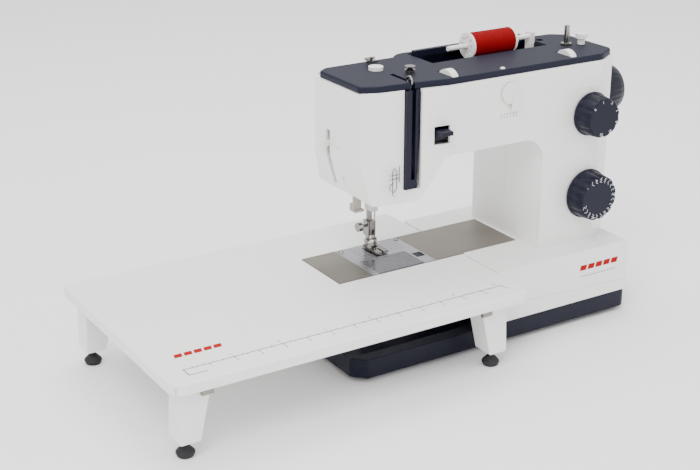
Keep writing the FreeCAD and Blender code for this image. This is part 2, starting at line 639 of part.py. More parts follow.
# ---------------------------------------------------------------- needle threader
tx = nx - dims.threader_offset
ty = ny - 1
rod_r = dims.threader_rod_radius
threader_low = head_low - 22
hook_wire_z = dims.deck_height + dims.needle_lift + 5 + dims.threader_drop
reach = dims.threader_offset
node("threader_carrier", fuse(
    cut(rod((tx, ty, threader_low), rod_r + 2.2, 46),
        rod((tx, ty, threader_low - 1), rod_r + dims.bar_gap, 48)),
    block((tx - 7, ty - 11, threader_low + 36), (tx + 1, ty - 3, threader_low + 45)),
    block((tx - 2, ty - 6, threader_low + 36), (tx + 2, ty - 2, threader_low + 45)),
    block((tx - 7, ty - 11.4, threader_low + 40), (tx - 3, ty - 7, head_low + 55)),
    block((-dims.head_left + 14, ty - 11.4, head_low + 50), (tx - 3, ty - 8.6, head_low + 54))))
guard_tip = tx + 5.2
guard_thick = 0.7
guard_half = 2.5
node("threader_hook", fuse(
    rod((tx, ty, hook_wire_z - 2.5), rod_r, head_low + 75.5 - hook_wire_z),
    rod((tx, ty, hook_wire_z - 2.5), rod_r + 1.6, 9.5),
    block((tx - 2, ty - reach - 2.4, hook_wire_z - 2.5), (tx + 2, ty - 2.2, hook_wire_z + 4)),
    *[block((tx + 1, ty - reach + side, hook_wire_z - guard_half),
            (guard_tip, ty - reach + side + guard_thick, hook_wire_z + guard_half))
      for side in (-2.4, 3.2)],
    rod((tx + 1, ty - reach, hook_wire_z), 0.35, 3.5, "X")))
node("threader_lever", fuse(
    block((-dims.head_left - 7, ty - 11.5, head_low + 49),
          (-dims.head_left + 14, ty - 8.5, head_low + 55)),
    block((-dims.head_left - 9, ty - 13, head_low + 47), (-dims.head_left - 5, ty - 7, head_low + 57))))
cutter_x, cutter_y = 10 - dims.head_left, size(1)
node("thread_cutter", fuse(
    block((cutter_x, cutter_y, head_low - 14), (cutter_x + 9, cutter_y + 2.4, head_low + 1)),
    block((cutter_x, cutter_y, head_low - 14), (cutter_x + 3, cutter_y + 8, head_low - 8)),
    block((cutter_x, cutter_y - 3, head_low - 15.5), (cutter_x + 11, cutter_y + 8, head_low - 13.6))))

# ---------------------------------------------------------------- take-up lever and main drive
sy, sz = dims.shaft_y, dims.shaft_z
take_y, take_z = size(24), dims.arm_top - 23
eye_y, eye_z = take_y - 58, dims.cover_top + 0.5
node("take_up_lever", fuse(
    cut(rod((take_x - 1.2, take_y, take_z), 6, 2.4, "X"),
        rod((take_x - 2, take_y, take_z), 2.5 + dims.bar_gap, 5, "X")),
    pad("YZ", [(take_y - 4, take_z - 3), (take_y - 4, take_z + 4), (eye_y + 4, eye_z - 2, 3),
               (eye_y - 1, eye_z - 2, 1), (eye_y - 1, eye_z - 9, 2)], take_x - 1, take_x + 1),
    ring((take_x, eye_y + 1.5, eye_z), 4.2, 1.3, "X")))
shaft_left = size(24)
belt_x = dims.housing_right - 22
node("main_shaft", fuse(
    rod((belt_x, sy, sz), 26, 10, "X"), rod((belt_x - 1, sy, sz), 28, 1.2, "X"),
    rod((belt_x + 9.8, sy, sz), 28, 1.2, "X"),
    rod((shaft_left, sy, sz), dims.shaft_radius, dims.wheel_outer - 8 - shaft_left, "X"),
    cut(rod((shaft_left - 5, sy, sz), 15, 7, "X"),
        block((shaft_left - 6, sy - 16, sz + 4), (shaft_left + 1, sy + 16, sz + 17)))))
motor_z = size(120)
motor_y = size(30)
node("motor", cut(fuse(rod((belt_x - 62, motor_y, motor_z), dims.motor_radius, 52, "X"),
                       rod((belt_x - 66, motor_y, motor_z), 10, 60, "X"),
                       block((belt_x - 56, motor_y - 8, motor_z),
                             (belt_x - 16, motor_y + 8, motor_z + dims.motor_radius + 5))),
                  rod((belt_x - 40, motor_y, motor_z), 3.1, 60, "X")))
node("motor_pulley", fuse(rod((belt_x - 30, motor_y, motor_z), 3, 42, "X"),
                          rod((belt_x, motor_y, motor_z), 8, 9, "X")))
lower_y = dims.needle_y - 22
lz = dims.lower_shaft_z
node("lower_shaft", fuse(rod((nx + 36, lower_y, lz), dims.shaft_radius - 1, 190, "X"),
                         rod((nx + 30, lower_y, lz), 9, 8, "X"),
                         rod((belt_x - 22, lower_y, lz), 16, 9, "X")))
frame_x = dims.pillar_left + 4.5


def bearing(x, y, z, radius, outer, length=12):
    """A plain bearing block round a shaft that runs along X."""
    return cut(rod((x, y, z), outer, length, "X"), rod((x - 1, y, z), radius, length + 2, "X"))


rail_low = dims.arm_bottom + wall + 1.5
rail_high = rail_low + 10
riser_x = frame_x + 26
shelf_z = dims.arm_bottom - 22
rail_front, rail_back = sy + 15.6, sy + 20.6
lug_top = motor_z + dims.motor_radius + 5
shaft_run = dims.shaft_radius + dims.bar_gap
bar_run = bar_r + dims.bar_gap
presser_run = presser_r + dims.bar_gap
bar_guides = [(head_low + 34, 6), (sz - 10, 8)]
guide_blocks = [cut(block((tx - 5, ny - 7.5, z), (nx + 9, py + 9, z + tall)),
                    rod((nx, ny, z - 1), bar_run, tall + 2),
                    rod((nx, py, z - 1), presser_run, tall + 2),
                    rod((tx, ty, z - 1), rod_r + 2.6, tall + 2))
                for z, tall in bar_guides]
node("machine_frame", cut(fuse(
    block((nx + 9, rail_front, rail_low), (dims.housing_right - 40, rail_back, rail_high + 20)),
    block((frame_x + 2, rail_front, dims.deck_height + 8), (frame_x + 8, 56, shelf_z + 8)),
    block((frame_x + 2, rail_front, shelf_z), (riser_x + 8, rail_back, shelf_z + 8)),
    block((riser_x, rail_front, shelf_z), (riser_x + 8, rail_back, rail_high + 20)),
    block((frame_x + 2, rail_front - 8, lug_top), (belt_x - 16, rail_back, lug_top + 6)),
    block((nx + 4.2, rail_front, rail_low + 2), (nx + 12, ny - 4, rail_high + 20)),
    block((nx + 4, ny - 9, head_low + 34), (nx + 12, py + 9, sz - 2)),
    bearing(46, sy, sz, shaft_run, 11), block((46, sy + 7, sz - 8), (58, rail_front + 1, sz + 8)),
    bearing(dims.housing_right - 52, sy, sz, shaft_run, 11),
    block((dims.housing_right - 52, sy + 7, sz - 8), (dims.housing_right - 40, rail_front + 1, sz + 8)),
    rod((take_x - 2.6, take_y, take_z), 2.5, 10, "X"),
    block((take_x + 5, take_y - 4, sz + 18), (take_x + 12, rail_back, take_z + 4)),
    block((take_x + 5, rail_front, sz - 12), (take_x + 12, rail_back, take_z + 4)),
    block((take_x + 5, rail_front, sz - 12), (nx + 12, rail_back, sz + 4)),
    *guide_blocks),
    rod((frame_x - 1, sy, sz), 16, 11, "X"), block((12.2, sy - 17, sz - 17), (30, sy + 16, sz + 17))))

# ---------------------------------------------------------------- hook, bobbin, feed dogs
hook_top = plate_low - 1.2
hook_y = ny - 31
node("hook_race", cut(rod((nx, hook_y, hook_top - 17), dims.hook_radius + 3.5, 9),
                      rod((nx, hook_y, hook_top - 12), dims.hook_radius + 2, 20),
                      rod((nx, hook_y, hook_top - 19), 4.6, 12)))
node("rotary_hook", cut(fuse(rod((nx, hook_y, hook_top - 11.4), dims.hook_radius + 1.4, 9.6),
                             rod((nx, hook_y, hook_top - 21), 4.5, 12)),
                        rod((nx, hook_y, hook_top - 10), dims.hook_radius - 0.4, 12),
                        block((nx - 18, hook_y + 5, hook_top - 5),
                              (nx - 4, hook_y + 18, hook_top + 4))))
bobbin_low = hook_top - 9.2
bobbin_r = 10.2
node("bobbin", cut(fuse(rod((nx, hook_y, bobbin_low), bobbin_r, 1),
                        rod((nx, hook_y, hook_top - 1), bobbin_r, 1),
                        rod((nx, hook_y, bobbin_low), 4, hook_top - bobbin_low - 0.2)),
                   rod((nx, hook_y, bobbin_low - 1), 3, 14)))
node("feed_dogs", fuse(
    block((nx - 11, ny - 14, plate_low - 6), (nx + 11, ny - 10.4, plate_low - 2.4)),
    block((nx - 11, ny + 3, plate_low - 6), (nx + 11, ny + 12, plate_low - 2.4)),
    block((nx - 11, ny - 14, plate_low - 6), (nx - 8, ny + 12, plate_low - 2.4)),
    block((nx + 8, ny - 14, plate_low - 6), (nx + 11, ny + 12, plate_low - 2.4)),
    *[block((x - 1.1, y + 1, plate_low - 3), (x + 1.1, y + ly - 1, dims.deck_height - 0.3))
      for x, y, ly in feed_rows]))

# ---------------------------------------------------------------- controls on the front
def knurled(z, radius, gap):
    """A control dial on the pillar's face: a skirt, a tapered grip and a shaft."""
    front = -dims.face_front - 1.6 - gap
    depth = dims.dial_depth
    body = lathe("Y", [(0, 0 - depth), (radius - 2.2, 0 - depth, 1.5), (radius, 0, 1.2), (0, 0)],
                 (dims.dial_x, front, z))
    return fuse(body, rod((dims.dial_x, front - 1, z), 4, 16, "Y"))


node("stitch_length_dial", knurled(dims.length_dial_z, dims.length_dial_radius, dims.dial_gap))
node("pattern_dial", knurled(dims.pattern_dial_z, dims.pattern_dial_radius, dims.dial_gap))
rx, rz = dims.reverse_x, dims.reverse_z
node("reverse_lever", fuse(
    block((rx - 5.5, -dims.face_front + 5, rz - 6), (rx + 6.5, -dims.face_front + 13, rz + 5)),
    pad("YZ", [(-dims.face_front + 10, rz + 4), (-dims.face_front + 10, rz - 4, 1),
               (-dims.face_front - 9, rz + 1.5, 1), (-dims.face_front - 9, rz + 5.5, 1),
               (-dims.face_front + 2, rz + 6.5, 1)], rx - 5.5, rx + 8),
    rod((rx - 6.5, -dims.face_front + 11, rz - 2), 1.5, 14, "X")))
lx, lever_z = dims.stitch_lever_x, dims.stitch_lever_z
node("stitch_width_lever", fuse(
    rod((lx, -dims.face_front - 3.4, lever_z), dims.stitch_lever_radius, 2.4, "Y"),
    block((lx + 1, -dims.face_front - 5.2, lever_z - 19), (lx + 9.5, -dims.face_front - 1.6, lever_z)),
    rod((lx, -dims.face_front - 1.4, lever_z), lever_pin, 16, "Y")))

# ---------------------------------------------------------------- controls on the top
def thumb_wheel(x):
    """A thumbwheel that stands partly out of its slot in the top cover."""
    wide = dims.thumb_width
    return cut(rod((x - wide + 0.6, -dims.thumb_y, dims.cover_top - 9), dims.thumb_radius - 2,
                   wide * 2 - 1.2, "X"),
               rod((x - wide, -dims.thumb_y, dims.cover_top - 9), 2.5, wide * 2, "X"))


node("tension_dial", thumb_wheel(dims.tension_x))
node("balance_dial", thumb_wheel(dims.balance_x))
bx, by = -dims.button_x, dims.button_y
node("pressure_button", fuse(rod((bx, by, dims.cover_top - 6), dims.button_radius, 9.5),
                             rod((bx, by, dims.cover_top - 18), 3, 13)))
rear_guide = fuse(
    rod((nx - 2, ny + 5.5, dims.arm_top - 6), 1.7, 18),
    rod((nx - 9, ny + 5.5, dims.cover_top + 4.5), 1.2, 11, "X"),
    rod((nx - 9, ny - 4, dims.cover_top + 4.5), 1.2, 9.6, "Y"),
    block((nx - 6, ny + 3.4, dims.cover_top + 0.2), (nx + 5, ny + 9, dims.cover_top + 1.8)))
gx, gy = nx + 9, -dims.guide_y
winder_guide = fuse(rod((gx, gy, dims.arm_top - 6), 1.8, 16),
                    rod((gx, gy, dims.cover_top + 0.3), 4.5, 3),
                    cone((gx, gy, dims.cover_top + 3.2), 5.5, 2, 1.8),
                    cone((gx, gy, dims.cover_top + 5), 2, 5.5, 1.8))
node("thread_guides", group(rear_guide, winder_guide))
spool_y, spool_z = dims.spool_y, dims.spool_z
pin_left = dims.spool_left - 25
node("spool_pin", fuse(
    rod((pin_left, spool_y, spool_z), dims.spool_pin_radius, 115, "X"),
    cone((pin_left + 89, spool_y, spool_z), dims.spool_pin_radius, 6, 1.5, "X"),
    block((pin_left + 108, spool_y - 5, tray_floor + 2.1),
          (pin_left + 113, spool_y + 5, spool_z + 5))))
bore = dims.spool_pin_radius + dims.spool_bore_gap
s_left, s_right = dims.spool_left, dims.spool_right - 2
s_rad = dims.spool_radius
flange = 2.2
core = 6.5
web_ring = 8.2
web_half = 1.9
node("thread_spool", cut(
    fuse(rod((s_left, spool_y, spool_z), s_rad, flange, "X"),
         rod((s_left, spool_y, spool_z), core, s_right - s_left, "X"),
         rod((s_right - flange, spool_y, spool_z), s_rad, flange, "X")),
    rod((s_left - 1, spool_y, spool_z), bore, s_right - s_left + 2, "X"),
    *[block((s_left - 1, spool_y + web_ring * math.cos(a) - web_half,
             spool_z + web_ring * math.sin(a) - web_half),
            (s_left + 2.1, spool_y + web_ring * math.cos(a) + web_half,
             spool_z + web_ring * math.sin(a) + web_half))
      for a in [math.pi / 4 * n for n in range(8)]]))
node("spool_thread", cut(
    rod((s_left + flange, spool_y, spool_z), s_rad - 0.6, s_right - s_left - flange * 2, "X"),
    rod((s_left, spool_y, spool_z), core, s_right - s_left, "X")))
wx, wy = dims.winder_x, dims.winder_y
node("winder_spindle", fuse(
    rod((wx, wy, dims.cover_top - 20), dims.winder_radius, 41),
    rod((wx, wy, dims.cover_top + 0.4), 6, 1.6),
    block((wx + 1, wy - 0.6, dims.cover_top + 2), (wx + 3.8, wy + 0.6, dims.cover_top + 15))))
node("winder_stop", fuse(rod((wx + 15, wy - 7, dims.cover_top + 0.3), 4, 7),
                         rod((wx + 15, wy - 7, dims.cover_top + 7), 6.5, 5)))

# ---------------------------------------------------------------- handwheel and inlet
wheel_in, wheel_out = dims.wheel_inner, dims.wheel_outer
wheel_span = wheel_out - wheel_in
node("handwheel", cut(
    lathe("X", [(0, wheel_span), (dims.wheel_radius - 6, wheel_span, 5),
                (dims.wheel_radius, wheel_span * 0.4, 6), (dims.wheel_radius - 3, 0, 2), (0, 0)],
          (wheel_in, sy, sz)),
    rod((wheel_in - 1, sy, sz), dims.shaft_radius, wheel_span - 7, "X"),
    rod((wheel_out - 6, sy, sz), 15, 8, "X")))
node("power_inlet", cut(
    block((dims.housing_right - 11, 34.3, 36.3), (dims.housing_right + 2.5, 65.7, 61.7)),
    block((dims.housing_right - 7, 38, 40), (dims.base_right, 62, 58))))

# ---------------------------------------------------------------- extension table
t_left, t_right = -dims.table_left, dims.table_right
t_front, t_back = -dims.table_front, dims.table_back
t_low, t_high = dims.deck_height - dims.table_thick, dims.deck_height
slot_left = -dims.free_arm_left - dims.slot_gap
slot_front = -dims.arm_width_front - dims.slot_gap
slot_back = dims.arm_width_back + dims.slot_gap
table_shape = [
    (t_left, t_front, dims.table_round), (t_right, t_front, 11), (t_right, slot_front, 2),
    (slot_left, slot_front), (slot_left, slot_back), (t_right, slot_back, 2),
    (t_right, t_back, 6), (t_left, t_back, 6),
]
skin = size(3)
t_ceiling = t_high - skin
table_top = soften(pad("XY", table_shape, t_low, t_high), 1.6,
                   lambda p, e: p.z > dims.deck_height.value - 0.01)
under = [
    block((t_left + skin, t_front + skin, t_low - 1), (slot_left - skin, t_back - skin, t_ceiling)),
    block((slot_left - skin - 1, t_front + skin, t_low - 1),
          (t_right - skin, slot_front - skin, t_ceiling)),
    block((slot_left - skin - 1, slot_back + skin, t_low - 1),
          (t_right - skin, t_back - skin, t_ceiling)),
]
ribs = [block((t_left + skin, y, t_low), (slot_left - skin, y + 2, t_ceiling))
        for y in (t_front + 60, t_front + 132, t_back - 60)]
ribs += [block((x, t_front + skin, t_low), (x + 2, slot_front - skin, t_ceiling))
         for x in (slot_left + 10, slot_left + 80)]
ribs += [block((x, slot_back + skin, t_low), (x + 2, t_back - skin, t_ceiling))
         for x in (slot_left + 10, slot_left + 80)]
node("extension_table", fuse(cut(table_top, *under), *ribs))

leg_spots = {
    "front_left": (-dims.leg_x_left, -dims.leg_y_front, -1),
    "front_right": (dims.leg_x_right, -dims.leg_y_front, 1),
    "back_left": (-dims.leg_x_left, dims.leg_y_back, -1),
    "back_right": (dims.leg_x_right, dims.leg_y_back, 1),
}
pin_z = t_low - 5.5
pin_r = dims.leg_pin_radius
half_deep = dims.leg_depth / 2
top_half, low_half = dims.leg_top_width / 2, dims.leg_bottom_width / 2
leg_top = t_low - 0.5
hinges = []
for corner, (x, y, side) in leg_spots.items():
    low_x = x + dims.leg_splay * side
    pin_x = x - (top_half - 5.5) * side
    leg = pad("XZ", [
        (x - top_half, leg_top, 4), (low_x - low_half, dims.leg_bottom, 2),
        (low_x + low_half, dims.leg_bottom, 2), (x + top_half, leg_top, 4),
    ], y - half_deep, y + half_deep)
    hollow = pad("XZ", [
        (x - top_half + 11, leg_top - 13, 2), (low_x - low_half + 3, dims.leg_bottom + 7, 2),
        (low_x + low_half - 3, dims.leg_bottom + 7, 2), (x + top_half - 11, leg_top - 13, 2),
    ], y - half_deep + 3, y + half_deep - 3)
    node("leg_%s" % corner, cut(
        leg, hollow,
        rod((pin_x, y - half_deep - 1, pin_z), pin_r + dims.pin_gap, dims.leg_depth + 2, "Y"),
        rod((low_x, y, dims.leg_bottom - 1), dims.leg_screw_radius + 0.4, 8)))
    node("foot_%s" % corner, fuse(
        rod((low_x, y, dims.leg_foot_height - 1), dims.leg_screw_radius,
            dims.leg_bottom - dims.leg_foot_height + 6),
        lathe("Z", [(0, 0), (dims.leg_foot_radius - 2, 0, 1.5), (dims.leg_foot_radius, 4.5, 2),
                    (dims.leg_screw_radius + 1, dims.leg_foot_height, 1),
                    (0, dims.leg_foot_height)], (low_x, y, 0))))
    near, off = y - half_deep - 0.4, y + half_deep + 0.4
    hinges.append(fuse(
        block((pin_x - 6, near - 3, pin_z - 5), (pin_x + 6, near, t_ceiling)),
        block((pin_x - 6, off, pin_z - 5), (pin_x + 6, off + 3, t_ceiling)),
        rod((pin_x, near - 3, pin_z), pin_r, dims.leg_depth + 6.8, "Y")))
node("leg_hinges", group(*hinges))


# ---------------------------------------------------------------- checks and files
doc.recompute()
for thing in doc.Objects:
    for state in thing.State:
        if "Invalid" in state or "Error" in state:
            raise RuntimeError("%s (%s) is %s" % (thing.Name, thing.Label, state))
os.makedirs("parts", exist_ok=True)
for label, thing in nodes.items():
    shape = thing.Shape
    if shape.isNull() or not shape.isValid() or not shape.Solids:
        raise RuntimeError("%s has no valid solid" % label)
    if shape.Volume <= 0:
        raise RuntimeError("%s is empty" % label)
    shape.exportStep("parts/%s.step" % label)
print("%d nodes written" % len(nodes))
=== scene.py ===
import math

import bmesh
import bpy
from mathutils import Matrix, Vector


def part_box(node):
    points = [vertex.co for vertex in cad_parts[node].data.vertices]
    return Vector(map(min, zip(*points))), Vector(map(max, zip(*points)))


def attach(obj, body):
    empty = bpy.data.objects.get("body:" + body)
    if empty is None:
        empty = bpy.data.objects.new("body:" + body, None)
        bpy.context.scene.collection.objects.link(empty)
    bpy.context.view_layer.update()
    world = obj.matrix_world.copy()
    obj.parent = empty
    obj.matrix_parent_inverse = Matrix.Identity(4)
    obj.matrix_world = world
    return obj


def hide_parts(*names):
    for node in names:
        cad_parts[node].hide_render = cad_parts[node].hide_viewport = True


# A free-arm household sewing machine in its extension table: looks and camera.
# Everything is in metres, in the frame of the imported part.

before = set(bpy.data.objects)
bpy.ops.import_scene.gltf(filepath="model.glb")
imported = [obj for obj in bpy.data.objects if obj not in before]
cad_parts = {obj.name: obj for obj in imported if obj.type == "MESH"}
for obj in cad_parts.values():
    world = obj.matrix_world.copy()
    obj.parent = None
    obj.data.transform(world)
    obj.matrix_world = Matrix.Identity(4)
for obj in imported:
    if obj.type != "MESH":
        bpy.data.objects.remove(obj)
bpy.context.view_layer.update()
MM = 0.001
INCH = 25.4 * MM
# the six faces of a block whose corners go round the bottom and then round the top
BLOCK_FACES = ((3, 2, 1, 0), (4, 5, 6, 7), (0, 1, 5, 4), (1, 2, 6, 5), (2, 3, 7, 6), (3, 0, 4, 7))


# ---------------------------------------------------------------- materials
def linear(code):
    """An sRGB hex colour as linear RGBA."""
    parts = [int(code[i:i + 2], 16) / 255 for i in (1, 3, 5)]
    return tuple([c / 12.92 if c <= 0.04045 else ((c + 0.055) / 1.055) ** 2.4 for c in parts] + [1.0])


def add(tree, kind, links=(), **settings):
    """Adds a node: settings are attributes or input values, links are (input, socket) pairs."""
    made = tree.nodes.new(kind)
    for key, value in settings.items():
        name = key.replace("_", " ")
        if name in made.inputs:
            made.inputs[name].default_value = value
        else:
            setattr(made, key, value)
    for target, source in links:
        tree.links.new(source, made.inputs[target])
    return made


# the colour sockets of a mix node
MIX_A = 6
MIX_B = 7
MIX_RESULT = 2


def finish_of(name, colour, other, grain_mm, bump, roughness, spread=0.06, stretch=(1, 1, 1), **shader):
    """A surface with a fine grain that shifts its colour, its roughness and its relief."""
    material = bpy.data.materials.new(name)
    material.use_nodes = True
    tree = material.node_tree
    surface = tree.nodes["Principled BSDF"]
    place = add(tree, "ShaderNodeTexCoord")
    scaled = add(tree, "ShaderNodeMapping", [("Vector", place.outputs["Object"])], Scale=stretch)
    grain = add(tree, "ShaderNodeTexNoise", [("Vector", scaled.outputs["Vector"])],
                Scale=1000 / grain_mm, Detail=3.0, Roughness=0.55)
    broad = add(tree, "ShaderNodeTexNoise", [("Vector", place.outputs["Object"])],
                Scale=14.0, Detail=2.0)
    tint = add(tree, "ShaderNodeMix", [("Factor", broad.outputs["Fac"])], data_type="RGBA")
    tint.inputs[MIX_A].default_value = linear(colour)
    tint.inputs[MIX_B].default_value = linear(other)
    tree.links.new(tint.outputs[MIX_RESULT], surface.inputs["Base Color"])
    gloss = add(tree, "ShaderNodeMapRange", [("Value", grain.outputs["Fac"])])
    gloss.inputs["To Min"].default_value = roughness - spread
    gloss.inputs["To Max"].default_value = roughness + spread
    tree.links.new(gloss.outputs["Result"], surface.inputs["Roughness"])
    relief = add(tree, "ShaderNodeBump", [("Height", grain.outputs["Fac"])], Strength=bump)
    relief.inputs["Distance"].default_value = grain_mm * MM * 0.5
    tree.links.new(relief.outputs["Normal"], surface.inputs["Normal"])
    for socket, value in shader.items():
        surface.inputs[socket.replace("_", " ")].default_value = value
    return material


# gloss ABS, injection moulded: white with a faint orange peel that softens highlights
white_abs = finish_of("gloss_white_ABS", "#F1F0EE", "#ECEBEA", 1.6, 0.05, 0.33, IOR=1.53,
                      Coat_Weight=0.15, Coat_Roughness=0.2)
# navy ABS, moulded with a fine spark-eroded grain
navy_abs = finish_of("navy_ABS", "#0B0D22", "#090B1C", 0.6, 0.12, 0.4,
                     Specular_IOR_Level=0.22)
# top cover, same plastic with a coarser satin texture that reads greyer
cover_abs = finish_of("satin_slate_ABS", "#101326", "#0D1022", 0.5, 0.25, 0.5,
                      Specular_IOR_Level=0.2)
# stainless bed plate, belt-ground along its length
steel = finish_of("ground_stainless_steel", "#8F8A80", "#7F7A71", 0.5, 0.22, 0.34,
                  stretch=(0.02, 1, 1), Metallic=1.0, Anisotropic=0.5)
# needle plate, bright stainless, ground finer
plate_steel = finish_of("bright_stainless_steel", "#B9B7BD", "#ACAAB2", 0.4, 0.15, 0.27,
                        stretch=(0.04, 1, 1), Metallic=1.0)
# nickel-plated bars, foot and hooks: near mirror, with faint handling marks
nickel = finish_of("nickel_plate", "#96938F", "#85827E", 3.0, 0.03, 0.14, Metallic=1.0)
# smoked clear acrylic over the bobbin
smoke = finish_of("clear_acrylic", "#B9B6C2", "#AFACB9", 4.0, 0.02, 0.08, spread=0.03,
                  Transmission_Weight=0.85, IOR=1.49)
# black moulded rubber, dusty and matt
rubber = finish_of("moulded_rubber", "#15151A", "#1E1E22", 0.8, 0.3, 0.72)
# white nylon, slightly waxy
nylon = finish_of("white_nylon", "#EFEDEA", "#E6E4E1", 1.2, 0.08, 0.38, Subsurface_Weight=0.05)
# grey acetal of the threader and the cutter
acetal = finish_of("grey_acetal", "#A39C92", "#938C83", 0.9, 0.1, 0.42)
# die-cast aluminium frame, shot blasted
cast = finish_of("cast_aluminium", "#9C9DA0", "#8E8F93", 0.7, 0.4, 0.5, Metallic=0.9)
# black lacquer on the motor and the hook race
lacquer = finish_of("black_lacquer", "#141519", "#1B1C20", 1.5, 0.08, 0.4)
# inks: grey print, white print and red print, all slightly matt
grey_ink = finish_of("grey_print", "#3C3E4E", "#383A49", 0.5, 0.05, 0.6)
white_ink = finish_of("white_print", "#D9DADF", "#CFD0D6", 0.5, 0.05, 0.6)
dark_ink = finish_of("dark_print", "#3A3B44", "#33343D", 0.5, 0.05, 0.6)
# crease line: the white a shade darker, painted shade where the crease's groove is shaded
soft_shadow = finish_of("painted_crease_shade", "#C9C9CC", "#C3C3C6", 1.6, 0.05, 0.4)
red_ink = finish_of("red_print", "#A40C08", "#960A06", 0.5, 0.05, 0.6, Specular_IOR_Level=0.1)


def wound_thread():
    """Polyester thread wound on a spool: close turns across the axis, each crossing at a slant."""
    material = finish_of("wound_polyester_thread", "#A80010", "#90000C", 0.5, 0.35, 0.75,
                         Specular_IOR_Level=0.1)
    tree = material.node_tree
    surface = tree.nodes["Principled BSDF"]
    place = add(tree, "ShaderNodeTexCoord")
    turned = add(tree, "ShaderNodeMapping", [("Vector", place.outputs["Object"])],
                 Rotation=(0, 0.10, 0.14))
    # real turns lie 0.25 mm apart; drawn wider so that they show
    turn_pitch = 1.0 * MM
    turns = add(tree, "ShaderNodeTexWave", [("Vector", turned.outputs["Vector"])],
                bands_direction="X", Scale=2 * math.pi / (20 * turn_pitch), Distortion=1.2, Detail=2.0)
    relief = add(tree, "ShaderNodeBump", [("Height", turns.outputs["Fac"])], Strength=0.8)
    relief.inputs["Distance"].default_value = 0.3 * MM
    tree.links.new(relief.outputs["Normal"], surface.inputs["Normal"])
    # the turns take their colour from the same waves as their relief: darker in the hollows between
    # turns, painted shade
    shade = add(tree, "ShaderNodeMix", data_type="RGBA")
    tree.links.new(turns.outputs["Fac"], shade.inputs["Factor"])
    shade.inputs[MIX_A].default_value = linear("#5A0005")
    shade.inputs[MIX_B].default_value = linear("#9C0009")
    tree.links.new(shade.outputs[MIX_RESULT], surface.inputs["Base Color"])
    return material


red_thread = wound_thread()

FINISH = {
    white_abs: ["front_cover", "rear_cover", "face_cover", "free_arm_cover", "extension_table"]
    + ["leg_" + c for c in ("front_left", "front_right", "back_left", "back_right")],
    navy_abs: ["base_tray", "thread_channel", "spool_tray", "carry_handle", "cover_release",
               "reverse_lever", "handwheel", "stitch_length_dial", "pattern_dial"],
    cover_abs: ["top_cover"],
    steel: ["bed_plate", "feed_dogs", "main_shaft", "motor_pulley", "lower_shaft", "leg_hinges"],
    plate_steel: ["needle_plate", "threader_hook"],
    nickel: ["needle_bar", "needle_clamp", "needle", "presser_bar", "foot_holder", "presser_foot",
             "take_up_lever", "rotary_hook", "thread_guides", "winder_spindle"],
    smoke: ["bobbin_cover", "bobbin"],
    rubber: ["rubber_feet"] + ["foot_" + c for c in ("front_left", "front_right", "back_left",
                                                     "back_right")],
    nylon: ["threader_lever", "stitch_width_lever", "tension_dial", "balance_dial",
            "pressure_button", "spool_pin", "thread_spool", "winder_stop"],
    acetal: ["threader_carrier", "thread_cutter", "presser_lifter"],
    cast: ["machine_frame"],
    lacquer: ["motor", "hook_race", "power_inlet"],
    red_thread: ["spool_thread"],
}
for material, names in FINISH.items():
    for name in names:
        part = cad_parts[name]
        for number in range(len(part.material_slots)):
            part.material_slots[number].material = material


# ---------------------------------------------------------------- building pieces
def smooth(mesh):
    """Shades every face of a mesh smoothly."""
    for face in mesh.polygons:
        face.use_smooth = True


def piece(name, mesh, material, body):
    """A finished mesh as a piece that rides on a body."""
    thing = bpy.data.objects.new(name, mesh)
    bpy.context.collection.objects.link(thing)
    mesh.materials.clear()
    mesh.materials.append(material)
    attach(thing, body)
    return thing


def mesh_of(name, build):
    """A mesh made by a function that fills a bmesh, with its faces turned outwards."""
    mesh = bpy.data.meshes.new(name)
    work = bmesh.new()
    build(work)
    bmesh.ops.recalc_face_normals(work, faces=work.faces)
    work.to_mesh(mesh)
    work.free()
    return mesh


def lathe_mesh(name, profile, axis, centre, steps=96, wave=None):
    """Turns a profile of (radius, height) about an axis; wave(angle, row) scales a radius."""
    along = {"X": Vector((1, 0, 0)), "Y": Vector((0, 1, 0)), "Z": Vector((0, 0, 1))}[axis]
    side = Vector((0, 0, 1)) if axis != "Z" else Vector((1, 0, 0))
    other = along.cross(side)

    def build(work):
        rows = []
        for row, (radius, height) in enumerate(profile):
            if radius < 1e-9:
                rows.append([work.verts.new(Vector(centre) + along * height)] * steps)
                continue
            ring = []
            for step in range(steps):
                angle = 2 * math.pi * step / steps
                reach = radius * (wave(angle, row) if wave else 1)
                spot = side * math.cos(angle) + other * math.sin(angle)
                ring.append(work.verts.new(Vector(centre) + along * height + spot * reach))
            rows.append(ring)
        for low, high in zip(rows, rows[1:]):
            for step in range(steps):
                after = (step + 1) % steps
                corners = []
                for vert in (low[step], low[after], high[after], high[step]):
                    if vert not in corners:
                        corners.append(vert)
                if len(corners) > 2:
                    work.faces.new(corners)
    return mesh_of(name, build)


def ribbon(work, points, width, up, thick):
    """A thin printed stroke through points, standing up by its thickness."""
    up = Vector(up).normalized()
    for start, end in zip(points, points[1:]):
        start, end = Vector(start), Vector(end)
        along = (end - start).normalized()
        side = along.cross(up) * width / 2
        start, end = start - along * width / 2, end + along * width / 2
        low = [start - side, end - side, end + side, start + side]
        verts = [work.verts.new(p) for p in low] + [work.verts.new(p + up * thick) for p in low]
        for face in BLOCK_FACES:
            work.faces.new([verts[i] for i in face])


def printed(name, strokes, width, up, material, body, thick=0.00006):
    """A print made of strokes, each a list of points."""
    def build(work):
        for points in strokes:
            ribbon(work, points, width, up, thick)
    return piece(name, mesh_of(name, build), material, body)


